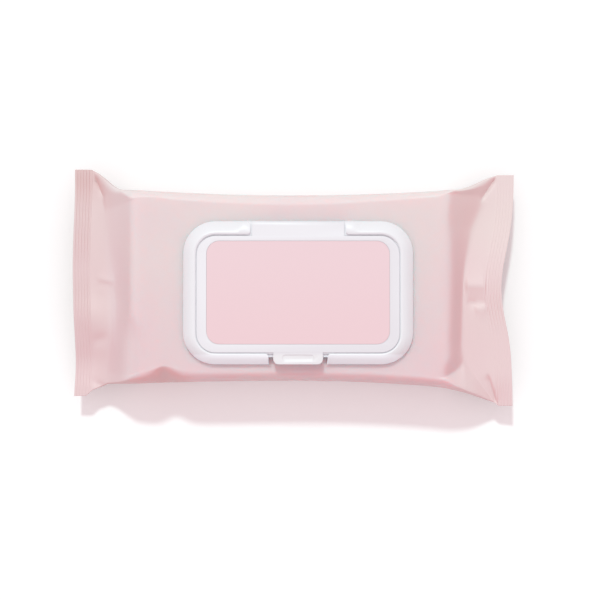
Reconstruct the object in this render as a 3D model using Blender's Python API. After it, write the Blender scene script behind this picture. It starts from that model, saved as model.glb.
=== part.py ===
"""Wet wipes pack: a flow-wrapped film pack with crimped end fins, and a moulded flip lid glued to its front.

The pack lies on its back, lid up. X runs along the pack, +Y is the hinge side of the lid, and +Z comes out of
the front face. The origin is at the bottom centre of the whole pack. Sizes are in millimetres.
"""

import math

import bmesh
import bpy

MM = 0.001

# Film pack: its body, full of wipes
PACK_LENGTH = 212.2
BODY_WIDTH = 88.5
BODY_HEIGHT = 34.0
CORNER_INSET = 5.6
CORNER_POWER = 2.6
LEFT_SHOULDER = 76.4
RIGHT_SHOULDER = 74.2
BACK_RECESS = 0.6
BACK_RECESS_WIDTH = 44.0
BACK_SEAM_WIDTH = 13.0
BACK_SEAM_THICKNESS = 0.35

# The crimped fin at each end, and how far each of its corners reaches from the pack's middle line
SEAL_WIDTH = 8.7
FIN_HEIGHT = 16.0
FIN_THICKNESS = 0.8
RIB_COUNT = 7
RIB_DEPTH = 0.35
LEFT_TOP_REACH = 57.1
LEFT_BOTTOM_REACH = 51.5
RIGHT_TOP_REACH = 54.8
RIGHT_BOTTOM_REACH = 56.2

# How much wider the body is at each corner than in its middle, and how far in the ear's valley turns there
LEFT_TOP_SPREAD = 2.7
LEFT_BOTTOM_SPREAD = 1.4
RIGHT_TOP_SPREAD = 2.4
RIGHT_BOTTOM_SPREAD = 3.3
LEFT_TOP_TURN = 7.0
LEFT_BOTTOM_TURN = 4.0
RIGHT_TOP_TURN = 1.0
RIGHT_BOTTOM_TURN = 8.7

# How far each fin bows inwards along X and waves up and down
LEFT_BOW = 1.2
LEFT_WAVE = 1.3
RIGHT_BOW = 6.5
RIGHT_WAVE = 3.0
RIGHT_TUCK = 0.9

# The drop from a shoulder to its fin: steep at first, then a shelf
SHELF_SHARE = 0.20
LEFT_STEEP_SHARE = 0.46
RIGHT_STEEP_SHARE = 0.36

# A pressed-in stretch of the lower front edge, left of the lid
DENT_X = -62.0
DENT_LENGTH = 30.0
DENT_DEPTH = 3.4

# Lid base, glued to the front of the film
LID_CENTRE_X = 2.2
LID_DROP = 2.75
GLUE_THICKNESS = 0.4
GLUE_WIDTH = 9.0
GLUE_MARGIN = 3.4
SEAT_GAP = 0.1
FRAME_WIDTH = 108.0
FRAME_DEPTH = 67.3
FRAME_RADIUS = 15.0
FRAME_HEIGHT = 6.4
FRAME_EDGE_HEIGHT = 1.2
FRAME_WALL = 1.0
FRAME_ROOF = 1.2
FRAME_CREST_SHARE = 0.88
FRAME_CROWN_POWER = 1.6
SIDE_BAR = 6.05
TOP_BAR = 6.4
BOTTOM_BAR = 5.0
BASE_PLATE = 0.8
MOUTH_MARGIN = 8.0
MOUTH_RADIUS = 14.0
LIP_WALL = 0.8
LIP_HEIGHT = 3.2
CORNER_STEPS = 9
ARC_STEPS = 5

# Flip lid
FIT_GAP = 0.35
HINGE_SIDE_GAP = 0.7
LID_TOP = 6.0
LID_PLATE = 1.2
LID_CHAMFER = 0.35
TAB_STEP = 0.1
SKIRT_WALL = 0.9
SKIRT_DROP = 2.2
RING_WALL = 0.8
RING_DROP = 2.2
HINGE_TAB_WIDTH = 43.2
HINGE_TAB_GAP = 0.8
KNUCKLE_RADIUS = 2.0
KNUCKLE_START = -210
PIN_RADIUS = 0.8
PIN_LENGTH = 2.2
PIN_CLEARANCE = 0.25
PIN_BLOCK = 3.2
PIN_BLOCK_EDGE_HEIGHT = 3.4
PIN_BLOCK_FADE = 5.0
BAR_END_ROUND = 1.3

# Latch, opposite the hinge
LATCH_TAB_WIDTH = 23.2
LATCH_TAB_RADIUS = 2.5
LATCH_TAB_THICKNESS = 1.5
LATCH_NOTCH_WIDTH = 27.8
LATCH_NOTCH_DEPTH = 3.1
CATCH_WIDTH = 15.0
CATCH_WALL = 0.8
CATCH_HEIGHT = 3.6
CATCH_SETBACK = 0.9
LATCH_GAP = 0.3
HOOK_DROP = 2.2
DISH_WIDTH = 15.2
DISH_LENGTH = 3.4
DISH_DEPTH = 0.5
DISH_MARGIN = 1.1

# Coloured inlay in the lid with the white rims round it, and the peel-off seal in the mouth
SIDE_RIM = 4.8
TOP_RIM = 2.5
BOTTOM_RIM = 4.1
INLAY_RADIUS = 6.0
INLAY_THICKNESS = 0.4
PEEL_MARGIN = 4.6
PEEL_RADIUS = 8.0
PEEL_THICKNESS = 0.2
PULL_TAB_WIDTH = 12.0
PULL_TAB_LENGTH = 3.4

# Heights above the floor, and places that several pieces share
MIDDLE_LINE_Y = (RIGHT_BOTTOM_REACH - LEFT_TOP_REACH) / 2
LID_CENTRE_Y = MIDDLE_LINE_Y - LID_DROP
FILM_TOP = BODY_HEIGHT
BASE_BOTTOM = FILM_TOP + SEAT_GAP + GLUE_THICKNESS + SEAT_GAP
FRAME_TOP_Y = LID_CENTRE_Y + FRAME_DEPTH / 2
FRAME_BOTTOM_Y = LID_CENTRE_Y - FRAME_DEPTH / 2
HINGE_Y = FRAME_TOP_Y - KNUCKLE_RADIUS - SEAT_GAP
HINGE_Z = BASE_BOTTOM + LID_TOP - TAB_STEP - KNUCKLE_RADIUS
LID_UNDERSIDE = BASE_BOTTOM + LID_TOP - LID_PLATE


def between(low_x, high_x, low_y, high_y, radius):
    """(width, depth, corner radius, centre) of a rounded rectangle between its four sides."""
    return high_x - low_x, high_y - low_y, radius, ((low_x + high_x) / 2, (low_y + high_y) / 2)


WINDOW_TOP_Y = FRAME_TOP_Y - TOP_BAR
WINDOW_BOTTOM_Y = FRAME_BOTTOM_Y + BOTTOM_BAR
WINDOW_HALF = FRAME_WIDTH / 2 - SIDE_BAR
WINDOW = between(
    LID_CENTRE_X - WINDOW_HALF,
    LID_CENTRE_X + WINDOW_HALF,
    WINDOW_BOTTOM_Y,
    WINDOW_TOP_Y,
    FRAME_RADIUS - (TOP_BAR + BOTTOM_BAR) / 2,
)
LID = between(
    LID_CENTRE_X - WINDOW_HALF + FIT_GAP,
    LID_CENTRE_X + WINDOW_HALF - FIT_GAP,
    WINDOW_BOTTOM_Y + FIT_GAP,
    WINDOW_TOP_Y - HINGE_SIDE_GAP,
    WINDOW[2] - FIT_GAP,
)
INLAY = between(
    LID_CENTRE_X - WINDOW_HALF + FIT_GAP + SIDE_RIM,
    LID_CENTRE_X + WINDOW_HALF - FIT_GAP - SIDE_RIM,
    WINDOW_BOTTOM_Y + FIT_GAP + BOTTOM_RIM,
    WINDOW_TOP_Y - HINGE_SIDE_GAP - TOP_RIM,
    INLAY_RADIUS,
)
MOUTH = between(
    LID_CENTRE_X - WINDOW_HALF + MOUTH_MARGIN,
    LID_CENTRE_X + WINDOW_HALF - MOUTH_MARGIN,
    WINDOW_BOTTOM_Y + MOUTH_MARGIN,
    WINDOW_TOP_Y - MOUTH_MARGIN,
    MOUTH_RADIUS,
)
CATCH_Y = WINDOW_BOTTOM_Y - CATCH_SETBACK


def clear_scene():
    for thing in list(bpy.data.objects):
        bpy.data.objects.remove(thing)


def new_collection(name):
    group = bpy.data.collections.new(name)
    bpy.context.scene.collection.children.link(group)
    return group


def finish(name, colour, roughness):
    made = bpy.data.materials.new(name)
    made.use_nodes = True
    shader = made.node_tree.nodes["Principled BSDF"]
    shader.inputs["Base Color"].default_value = (*colour, 1.0)
    shader.inputs["Roughness"].default_value = roughness
    shader.inputs["Metallic"].default_value = 0.0
    return made


def place(name, mesh, group, material=None, origin=(0.0, 0.0, 0.0)):
    """A new object in its collection, turned from millimetres to metres, with its origin at a chosen point."""
    for vertex in mesh.vertices:
        for axis in range(3):
            vertex.co[axis] = (vertex.co[axis] - origin[axis]) * MM
    thing = bpy.data.objects.new(name, mesh)
    thing.location = [value * MM for value in origin]
    group.objects.link(thing)
    if material:
        mesh.materials.append(material)
    return thing


def helper(name, mesh, group):
    """A cutter, or a piece to be joined to another, which isn't shown by itself."""
    thing = place(name, mesh, group)
    thing.hide_render = True
    thing.display_type = "WIRE"
    return thing


def combine(target, tool, operation):
    step = target.modifiers.new(tool.name, "BOOLEAN")
    step.operation = operation
    step.object = tool
    step.solver = "EXACT"


def mix(start, end, share):
    return start + (end - start) * share


def ease(value):
    value = min(1.0, max(0.0, value))
    return value * value * (3 - 2 * value)


def rounded_rectangle(width, depth, radius, centre):
    """Outline of a rounded rectangle, anticlockwise."""
    points = []
    for corner, (side_x, side_y) in enumerate(((1, 1), (-1, 1), (-1, -1), (1, -1))):
        corner_x = centre[0] + side_x * (width / 2 - radius)
        corner_y = centre[1] + side_y * (depth / 2 - radius)
        for step in range(CORNER_STEPS + 1):
            angle = math.pi / 2 * (corner + step / CORNER_STEPS)
            points.append((corner_x + radius * math.cos(angle), corner_y + radius * math.sin(angle)))
    return points


def grown(width, depth, radius, centre, growth):
    """A rounded rectangle that is larger all round, or smaller where growth is negative."""
    return rounded_rectangle(width + 2 * growth, depth + 2 * growth, radius + growth, centre)


def at_height(outline, height):
    return [(x, y, height) for x, y in outline]


def loft(name, loops, closed=False):
    """A skin through loops of equal point counts. Closed joins the last loop to the first, or else both are capped."""
    shape = bmesh.new()
    rings = [[shape.verts.new(point) for point in loop] for loop in loops]
    pairs = list(zip(rings, rings[1:]))
    if closed:
        pairs.append((rings[-1], rings[0]))
    for lower, upper in pairs:
        for index in range(len(lower)):
            after = (index + 1) % len(lower)
            shape.faces.new((lower[index], lower[after], upper[after], upper[index]))
    if not closed:
        shape.faces.new(rings[0][::-1])
        shape.faces.new(rings[-1])
    return faced_out(name, shape)


def faced_out(name, shape):
    bmesh.ops.recalc_face_normals(shape, faces=shape.faces)
    mesh = bpy.data.meshes.new(name)
    shape.to_mesh(mesh)
    shape.free()
    return mesh


def extrusion(name, outlines, low, high):
    """A plate between two heights, from a filled flat curve. Outlines inside the first one are holes."""
    flat = bpy.data.curves.new(name, "CURVE")
    flat.dimensions = "2D"
    flat.fill_mode = "BOTH"
    flat.extrude = (high - low) / 2
    for outline in outlines:
        spline = flat.splines.new("POLY")
        spline.points.add(len(outline) - 1)
        for point, (x, y) in zip(spline.points, outline):
            point.co = (x, y, 0.0, 1.0)
        spline.use_cyclic_u = True
    guide = bpy.data.objects.new(name, flat)
    bpy.context.scene.collection.objects.link(guide)
    bpy.context.view_layer.update()
    filled = bpy.data.meshes.new_from_object(guide.evaluated_get(bpy.context.evaluated_depsgraph_get()))
    bpy.data.objects.remove(guide)
    shape = bmesh.new()
    shape.from_mesh(filled)
    bmesh.ops.remove_doubles(shape, verts=shape.verts, dist=0.001)
    for vertex in shape.verts:
        vertex.co.z += (low + high) / 2
    return faced_out(name, shape)


def box(name, low, high):
    """A box between its lowest and its highest corner."""
    shape = bmesh.new()
    bmesh.ops.create_cube(shape, size=1.0)
    for vertex in shape.verts:
        for axis in range(3):
            vertex.co[axis] = mix(low[axis], high[axis], vertex.co[axis] + 0.5)
    return faced_out(name, shape)


def rod(name, radius, start, end, sides):
    """A round rod along the hinge line, between two places on X."""
    turns = [2 * math.pi * side / sides for side in range(sides)]
    circle = [(HINGE_Y + radius * math.cos(turn), HINGE_Z + radius * math.sin(turn)) for turn in turns]
    return loft(name, [[(x, y, z) for y, z in circle] for x in (start, end)])


# Film pack. A place along it is a station: -1 in the middle, 0 at a shoulder, 1 at the inner edge of a fin and
# 2 at its cut edge. Each quarter of a section has a fold line, a ridge line and a side seam.


class Corner:
    """One corner of the pack as seen from the front: its body, its folded ear and its end of the fin."""

    def __init__(self, end, upper, spread, fin_reach, flare, turn_station, turn_inset, sag):
        self.end = end
        self.upper = upper
        self.spread = spread
        self.fin_reach = fin_reach
        self.flare_start, self.flare_finish, self.flare_softness = flare
        self.turn_station = turn_station
        self.turn_reach = BODY_WIDTH / 2 - turn_inset
        self.sag = sag

    def seam(self, station):
        """How far the side seam is from the pack's middle line."""
        if station < 0:
            return BODY_WIDTH / 2 + self.spread * (1 + station) ** 2
        share = (station - self.flare_start) / (self.flare_finish - self.flare_start)
        share = min(1.0, max(0.0, share))
        flare = mix(share, ease(share), self.flare_softness)
        return mix(BODY_WIDTH / 2 + self.spread, self.fin_reach, flare)

    def ridge(self, station):
        """The edge between the front face, or the ear, and the side of the pack."""
        inset = mix(CORNER_INSET, FIN_THICKNESS, ease(station / 0.35))
        if self.end < 0 and not self.upper and station < 0:
            along = (LEFT_SHOULDER * (1 + station) + DENT_X) / (DENT_LENGTH / 2)
            inset += DENT_DEPTH * math.exp(-2 * along * along)
        return self.seam(station) - inset

    def fold(self, station):
        """The valley where the front face meets the folded ear."""
        if station < 0:
            return self.ridge(station) - mix(6 * FIN_THICKNESS, FIN_THICKNESS, 1 + station)
        start = self.ridge(0.0) - FIN_THICKNESS
        finish_reach = self.fin_reach - 2 * FIN_THICKNESS
        if station < self.turn_station:
            return mix(start, self.turn_reach, station / self.turn_station)
        share = (min(station, 1.0) - self.turn_station) / (1 - self.turn_station)
        return min(self.ridge(station) - FIN_THICKNESS, mix(self.turn_reach, finish_reach, share))

    def steep_share(self):
        return LEFT_STEEP_SHARE if self.end < 0 else RIGHT_STEEP_SHARE


LEFT_TOP = Corner(-1, True, LEFT_TOP_SPREAD, LEFT_TOP_REACH, (0.12, 1.05, 0.5), 0.68, LEFT_TOP_TURN, 0.0)
LEFT_BOTTOM = Corner(
    -1, False, LEFT_BOTTOM_SPREAD, LEFT_BOTTOM_REACH, (0.62, 1.35, 0.1), 0.62, LEFT_BOTTOM_TURN, 0.85
)
RIGHT_TOP = Corner(1, True, RIGHT_TOP_SPREAD, RIGHT_TOP_REACH, (0.0, 1.05, 0.8), 0.58, RIGHT_TOP_TURN, 0.0)
RIGHT_BOTTOM = Corner(
    1, False, RIGHT_BOTTOM_SPREAD, RIGHT_BOTTOM_REACH, (0.0, 1.25, 0.2), 0.36, RIGHT_BOTTOM_TURN, 0.0
)
CORNERS = {(-1, True): LEFT_TOP, (-1, False): LEFT_BOTTOM, (1, True): RIGHT_TOP, (1, False): RIGHT_BOTTOM}


def face_height(corner, station):
    """Half the pack's height at the fold line, where the face drops from the shoulder to the fin."""
    half, thin = BODY_HEIGHT / 2, FIN_THICKNESS / 2
    if station <= 0:
        return half
    shelf = SHELF_SHARE * half
    steep = corner.steep_share()
    if station < steep:
        return mix(half, shelf, 1 - (1 - station / steep) ** 1.5)
    return mix(shelf, thin, min(1.0, (station - steep) / (1 - steep)))


def ridge_height(corner, station):
    """Half the pack's height on the ridge of an ear, which runs straight to the fin's corner unless it sags."""
    straight = mix(BODY_HEIGHT / 2, FIN_THICKNESS / 2, min(1.0, max(0.0, station)))
    return mix(straight, face_height(corner, station), corner.sag)


def quarter(corner, station):
    """(distance from the middle, half height) of each column, from the middle of the pack to its side seam."""
    fold, ridge, seam = corner.fold(station), corner.ridge(station), corner.seam(station)
    low, high = face_height(corner, station), ridge_height(corner, station)
    strip = BACK_SEAM_WIDTH / 2
    columns = [(0.0, low), (strip, low), (strip + BACK_SEAM_THICKNESS, low)]
    columns += [(mix(columns[2][0], fold, step / 4), low) for step in (1, 2, 3, 4)]
    columns += [(mix(fold, ridge, step / 3), mix(low, high, step / 3)) for step in (1, 2, 3)]
    for degrees in (22, 44, 66, 82):
        across, up = math.sin(math.radians(degrees)), math.cos(math.radians(degrees))
        power = 2 / CORNER_POWER
        columns.append((mix(ridge, seam, across**power), high * up**power))
    return columns + [(seam, 0.0)]


def fin_bow(end, along):
    """How far the fin stands in, and how far it is lifted, at a share of its reach from -1 to 1 along it."""
    if end < 0:
        inward = LEFT_BOW * (0.5 - 0.5 * math.cos(math.pi * (along - 0.16) / 0.82))
        return inward, LEFT_WAVE * (math.sin(2.2 * along) - 0.8)
    hollow = math.exp(-((along / 0.46) ** 2))
    return RIGHT_BOW * hollow + RIGHT_TUCK * ease((-along - 0.35) / 0.46), RIGHT_WAVE * (hollow - 0.5)


def film_point(corner, station, reach, rise, rib):
    """A point of the film, at a signed height from the seam's plane."""
    away = 1 if corner.upper else -1
    inward, lift = fin_bow(corner.end, away * reach / corner.fin_reach)
    shoulder = LEFT_SHOULDER if corner.end < 0 else RIGHT_SHOULDER
    seal = PACK_LENGTH / 2 - SEAL_WIDTH
    towards_fin = ease(station)
    if station <= 0:
        x = shoulder * (1 + station)
    elif station <= 1:
        x = mix(shoulder, seal, station) - inward * towards_fin
    else:
        x = seal + SEAL_WIDTH * (station - 1) - inward
    seam_z = mix(BODY_HEIGHT / 2, FIN_HEIGHT + lift, towards_fin)
    z = seam_z + rise + rib * RIB_DEPTH
    if rise < 0:
        recess = BACK_RECESS * (1 - towards_fin)
        z += recess * (1 - ease((reach - BACK_SEAM_WIDTH / 2) / ((BACK_RECESS_WIDTH - BACK_SEAM_WIDTH) / 2)))
        if reach <= BACK_SEAM_WIDTH / 2:
            z -= BACK_SEAM_THICKNESS
    return (corner.end * x, MIDDLE_LINE_Y + away * reach, z)


def film_loop(end, station, rib=0):
    """One section of the pack: across the front from +Y to -Y, then back across the back."""
    top, bottom = CORNERS[end, True], CORNERS[end, False]
    above, below = quarter(top, station), quarter(bottom, station)
    front = [film_point(top, station, reach, rise, rib) for reach, rise in reversed(above)]
    front += [film_point(bottom, station, reach, rise, rib) for reach, rise in below[1:]]
    back = [film_point(bottom, station, reach, -rise, rib) for reach, rise in reversed(below[:-1])]
    back += [film_point(top, station, reach, -rise, rib) for reach, rise in above[1:-1]]
    return front + back


def end_stations():
    """(station, rib) of each section from the body to the fin's cut edge, with a ridge or a groove at each rib."""
    stations = [(station, 0) for station in (-0.40, -0.30, -0.24, -0.18, -0.12, -0.06, 0.0)]
    stations += [(station, 0) for station in (0.08, 0.16, 0.25, 0.35, 0.46, 0.58, 0.70, 0.80, 0.90, 1.0)]
    for step in range(1, 2 * RIB_COUNT + 1):
        stations.append((1 + step / (2 * RIB_COUNT), 1 if step % 2 else -1))
    return stations


def film_mesh():
    outward = end_stations()
    loops = [film_loop(-1, station, rib) for station, rib in reversed(outward)]
    loops += [film_loop(-1, -1.0)]
    loops += [film_loop(1, station, rib) for station, rib in outward]
    shape = bmesh.new()
    rings = [[shape.verts.new(point) for point in loop] for loop in loops]
    count = len(rings[0])
    for lower, upper in zip(rings, rings[1:]):
        for index in range(count):
            after = (index + 1) % count
            shape.faces.new((lower[index], lower[after], upper[after], upper[index]))
    for ring in (rings[0], rings[-1]):
        for index in range(count // 2):
            across = (ring[index], ring[index + 1], ring[(count - index - 1) % count], ring[-index])
            shape.faces.new(list(dict.fromkeys(across)))
    return faced_out("film_pack", shape)


# Moulded lid base


def split_at_hinge(outline):
    """The outline with more points along its hinge side, where the frame swells round the pins."""
    side_end, side_y = outline[CORNER_STEPS]
    start = HINGE_TAB_WIDTH / 2 + HINGE_TAB_GAP + PIN_BLOCK
    room = min(1.0, 0.9 * (side_end - LID_CENTRE_X) / (start + PIN_BLOCK_FADE))
    reaches = [room * (start + PIN_BLOCK_FADE * step / 4) for step in range(5)]
    extra = [(LID_CENTRE_X + reach, side_y) for reach in reversed(reaches)]
    extra += [(LID_CENTRE_X - reach, side_y) for reach in reaches]
    return outline[: CORNER_STEPS + 1] + extra + outline[CORNER_STEPS + 1 :]


def swelling(x, y):
    """How much the frame swells there: fully round the hinge pins and not at all away from them."""
    start = HINGE_TAB_WIDTH / 2 + HINGE_TAB_GAP + PIN_BLOCK
    return ease((start + PIN_BLOCK_FADE - abs(x - LID_CENTRE_X)) / PIN_BLOCK_FADE) if y > LID_CENTRE_Y else 0.0


def crown_height(share, swell):
    """Height of the frame's crowned top, from its thin outer edge up to its crest next to the window."""
    rise = min(1.0, share / FRAME_CREST_SHARE)
    slim = mix(FRAME_EDGE_HEIGHT, FRAME_HEIGHT, 1 - (1 - rise) ** FRAME_CROWN_POWER)
    full = mix(PIN_BLOCK_EDGE_HEIGHT, FRAME_HEIGHT, math.sqrt(1 - (1 - rise) ** 2))
    return mix(slim, full, swell)


def frame_loop(share, height_at):
    """A loop of the frame at a share of its width, from its outer edge (0) to the window (1)."""
    outline = rounded_rectangle(
        mix(FRAME_WIDTH, WINDOW[0], share),
        mix(FRAME_DEPTH, WINDOW[1], share),
        mix(FRAME_RADIUS, WINDOW[2], share),
        (LID_CENTRE_X, mix(LID_CENTRE_Y, WINDOW[3][1], share)),
    )
    return [(x, y, BASE_BOTTOM + height_at(swelling(x, y))) for x, y in split_at_hinge(outline)]


def crown_loop(share, lower=0.0):
    return frame_loop(share, lambda swell: crown_height(share, swell) - lower)


def base_shell(name):
    """Frame, floor plate and the lip round the mouth, as one moulding before its cuts."""
    steps = [FRAME_CREST_SHARE * (step / ARC_STEPS) ** 1.3 for step in range(ARC_STEPS + 1)]
    loops = [frame_loop(0.0, lambda swell: 0.0)]
    loops += [crown_loop(share) for share in steps]
    loops.append(frame_loop(1.0, lambda swell: FRAME_HEIGHT - LID_CHAMFER))
    loops.append(frame_loop(1.0, lambda swell: BASE_PLATE))
    for growth, height in ((LIP_WALL, BASE_PLATE), (LIP_WALL, LIP_HEIGHT), (0.0, LIP_HEIGHT), (0.0, 0.0)):
        loops.append(at_height(split_at_hinge(grown(*MOUTH, growth)), BASE_BOTTOM + height))
    return loft(name, loops, closed=True)


def frame_groove(name):
    """The hollow under the frame, which leaves an even wall round it."""
    wall = FRAME_WALL / SIDE_BAR
    loops = [frame_loop(wall, lambda swell: -1.0)]
    loops += [crown_loop(mix(wall, 1 - wall, step / ARC_STEPS), FRAME_ROOF) for step in range(ARC_STEPS + 1)]
    loops.append(frame_loop(1 - wall, lambda swell: -1.0))
    return loft(name, loops, closed=True)


def gap_outline(width, window_y, outside_y):
    """A gap through a bar of the frame, as seen from above, whose ends are rounded towards the window."""
    away = 1 if outside_y > window_y else -1
    half, turn = width / 2, BAR_END_ROUND
    side = [(half, outside_y)]
    for step in range(ARC_STEPS + 1):
        angle = math.pi / 2 * step / ARC_STEPS
        side.append((half + turn * (1 - math.cos(angle)), window_y + away * turn * (1 - math.sin(angle))))
    side.append((half + turn, window_y - away))
    points = [(LID_CENTRE_X + x, y) for x, y in side] + [(LID_CENTRE_X - x, y) for x, y in reversed(side)]
    return points


def lid_base(group, helpers, material):
    gap_width = HINGE_TAB_WIDTH + 2 * HINGE_TAB_GAP
    groove = helper("groove", frame_groove("groove"), helpers)
    for end, width, low_y, high_y in (
        ("hinge", gap_width + 2 * PIN_BLOCK + PIN_BLOCK_FADE, LID_CENTRE_Y, FRAME_TOP_Y + FRAME_WALL),
        ("latch", LATCH_NOTCH_WIDTH + 2 * FRAME_WALL, FRAME_BOTTOM_Y - FRAME_WALL, LID_CENTRE_Y),
    ):
        low = (LID_CENTRE_X - width / 2, low_y, BASE_BOTTOM - 2)
        high = (LID_CENTRE_X + width / 2, high_y, BASE_BOTTOM + FRAME_HEIGHT + 1)
        combine(groove, helper(end + "_bar_block", box(end + "_bar_block", low, high), helpers), "DIFFERENCE")

    above = BASE_BOTTOM + BASE_PLATE, BASE_BOTTOM + FRAME_HEIGHT + 1
    hinge_gap = extrusion("hinge_gap", [gap_outline(gap_width, WINDOW_TOP_Y, FRAME_TOP_Y + 1)], *above)
    latch_gap_outline = gap_outline(LATCH_NOTCH_WIDTH, WINDOW_BOTTOM_Y, FRAME_BOTTOM_Y - 1)
    latch_gap = extrusion("latch_gap", [latch_gap_outline], *above)
    socket_reach = HINGE_TAB_WIDTH / 2 + PIN_LENGTH + PIN_CLEARANCE
    sockets = rod("sockets", PIN_RADIUS + PIN_CLEARANCE, LID_CENTRE_X - socket_reach, LID_CENTRE_X + socket_reach, 20)
    notch_half = LATCH_NOTCH_WIDTH / 2 - FRAME_WALL / 4
    notch_low = (LID_CENTRE_X - notch_half, FRAME_BOTTOM_Y - 1, BASE_BOTTOM - 1)
    notch_high = (LID_CENTRE_X + notch_half, FRAME_BOTTOM_Y + LATCH_NOTCH_DEPTH, BASE_BOTTOM + BASE_PLATE + 1)
    catch_low = (LID_CENTRE_X - CATCH_WIDTH / 2, CATCH_Y - CATCH_WALL, BASE_BOTTOM + BASE_PLATE / 2)
    catch_high = (LID_CENTRE_X + CATCH_WIDTH / 2, CATCH_Y, BASE_BOTTOM + CATCH_HEIGHT)

    base = place("lid_base", base_shell("lid_base"), group, material)
    combine(base, groove, "DIFFERENCE")
    combine(base, helper("hinge_gap", hinge_gap, helpers), "DIFFERENCE")
    combine(base, helper("latch_gap", latch_gap, helpers), "DIFFERENCE")
    combine(base, helper("latch_notch", box("latch_notch", notch_low, notch_high), helpers), "DIFFERENCE")
    combine(base, helper("pin_sockets", sockets, helpers), "DIFFERENCE")
    combine(base, helper("catch", box("catch", catch_low, catch_high), helpers), "UNION")


# Flip lid, with its origin on the hinge line


def lid_shell(name):
    """Plate, skirt, sealing ring and inlay recess, as one moulding, from its underside to its top."""
    top = BASE_BOTTOM + LID_TOP
    ring_inside = LIP_WALL + LATCH_GAP
    loops = []
    for growth, height in (
        (ring_inside, LID_UNDERSIDE),
        (ring_inside, LID_UNDERSIDE - RING_DROP),
        (ring_inside + RING_WALL, LID_UNDERSIDE - RING_DROP),
        (ring_inside + RING_WALL, LID_UNDERSIDE),
    ):
        loops.append(at_height(grown(*MOUTH, growth), height))
    for growth, height in (
        (-SKIRT_WALL, LID_UNDERSIDE),
        (-SKIRT_WALL, LID_UNDERSIDE - SKIRT_DROP),
        (0.0, LID_UNDERSIDE - SKIRT_DROP),
        (0.0, top - LID_CHAMFER),
        (-LID_CHAMFER, top),
    ):
        loops.append(at_height(grown(*LID, growth), height))
    for height in (top, top - INLAY_THICKNESS - SEAT_GAP):
        loops.append(at_height(grown(*INLAY, SEAT_GAP), height))
    return loft(name, loops)


def hinge_tab(name):
    """The tab that carries the lid on its hinge line, ending in a round knuckle."""
    inside = WINDOW_TOP_Y - HINGE_SIDE_GAP - SKIRT_WALL / 2
    top = HINGE_Z + KNUCKLE_RADIUS
    section = [(inside, top), (inside, top - LID_PLATE)]
    for step in range(3 * ARC_STEPS + 1):
        angle = math.radians(mix(KNUCKLE_START, 90, step / (3 * ARC_STEPS)))
        section.append((HINGE_Y + KNUCKLE_RADIUS * math.cos(angle), HINGE_Z + KNUCKLE_RADIUS * math.sin(angle)))
    half = HINGE_TAB_WIDTH / 2
    return loft(name, [[(LID_CENTRE_X + x, y, z) for y, z in section] for x in (-half, half)])


def latch_tab(name):
    """The finger tab at the front of the lid, flush with the outside of the frame."""
    start = WINDOW_BOTTOM_Y + FIT_GAP + SKIRT_WALL / 2
    half, turn = LATCH_TAB_WIDTH / 2, LATCH_TAB_RADIUS
    side = [(half, start)]
    for step in range(ARC_STEPS + 1):
        angle = math.pi / 2 * step / ARC_STEPS
        side.append((half - turn * (1 - math.cos(angle)), FRAME_BOTTOM_Y + turn * (1 - math.sin(angle))))
    outline = [(LID_CENTRE_X + x, y) for x, y in side] + [(LID_CENTRE_X - x, y) for x, y in reversed(side)]
    top = BASE_BOTTOM + LID_TOP - TAB_STEP
    return extrusion(name, [outline], top - LATCH_TAB_THICKNESS, top)


def finger_dish(name):
    """A shallow round-ended scoop in the finger tab, with its steep wall towards the hinge."""
    middle_y = FRAME_BOTTOM_Y + DISH_MARGIN + DISH_LENGTH / 2
    loops = []
    for size, depth, shift in ((1.12, -0.3, 0.0), (1.0, 0.0, 0.0), (0.74, 0.7, 0.09), (0.44, 1.0, 0.21)):
        length = DISH_LENGTH * size
        width = DISH_WIDTH - DISH_LENGTH + length
        centre = (LID_CENTRE_X, middle_y + shift * DISH_LENGTH)
        outline = rounded_rectangle(width, length, length / 2.001, centre)
        loops.append(at_height(outline, BASE_BOTTOM + LID_TOP - TAB_STEP - DISH_DEPTH * depth))
    return loft(name, loops)


def lid(group, helpers, material):
    hook_y = CATCH_Y - CATCH_WALL - LATCH_GAP
    tab_underside = BASE_BOTTOM + LID_TOP - TAB_STEP - LATCH_TAB_THICKNESS
    hook_low = (LID_CENTRE_X - CATCH_WIDTH / 2, hook_y - CATCH_WALL, tab_underside - HOOK_DROP)
    hook_high = (LID_CENTRE_X + CATCH_WIDTH / 2, hook_y, tab_underside + LATCH_TAB_THICKNESS / 2)
    pin_reach = HINGE_TAB_WIDTH / 2 + PIN_LENGTH
    pins = rod("pins", PIN_RADIUS, LID_CENTRE_X - pin_reach, LID_CENTRE_X + pin_reach, 16)

    made = place("lid", lid_shell("lid"), group, material, origin=(LID_CENTRE_X, HINGE_Y, HINGE_Z))
    combine(made, helper("hinge_tab", hinge_tab("hinge_tab"), helpers), "UNION")
    combine(made, helper("pins", pins, helpers), "UNION")
    combine(made, helper("latch_tab", latch_tab("latch_tab"), helpers), "UNION")
    combine(made, helper("hook", box("hook", hook_low, hook_high), helpers), "UNION")
    combine(made, helper("finger_dish", finger_dish("finger_dish"), helpers), "DIFFERENCE")


# Flat pieces


def glue_ring(group, material):
    """A band of adhesive between the film and the foot of the lid base."""
    foot = (FRAME_WIDTH, FRAME_DEPTH, FRAME_RADIUS, (LID_CENTRE_X, LID_CENTRE_Y))
    outlines = [grown(*foot, -GLUE_MARGIN), grown(*foot, -GLUE_MARGIN - GLUE_WIDTH)]
    low = FILM_TOP + SEAT_GAP
    place("glue_ring", extrusion("glue_ring", outlines, low, low + GLUE_THICKNESS), group, material)


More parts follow.
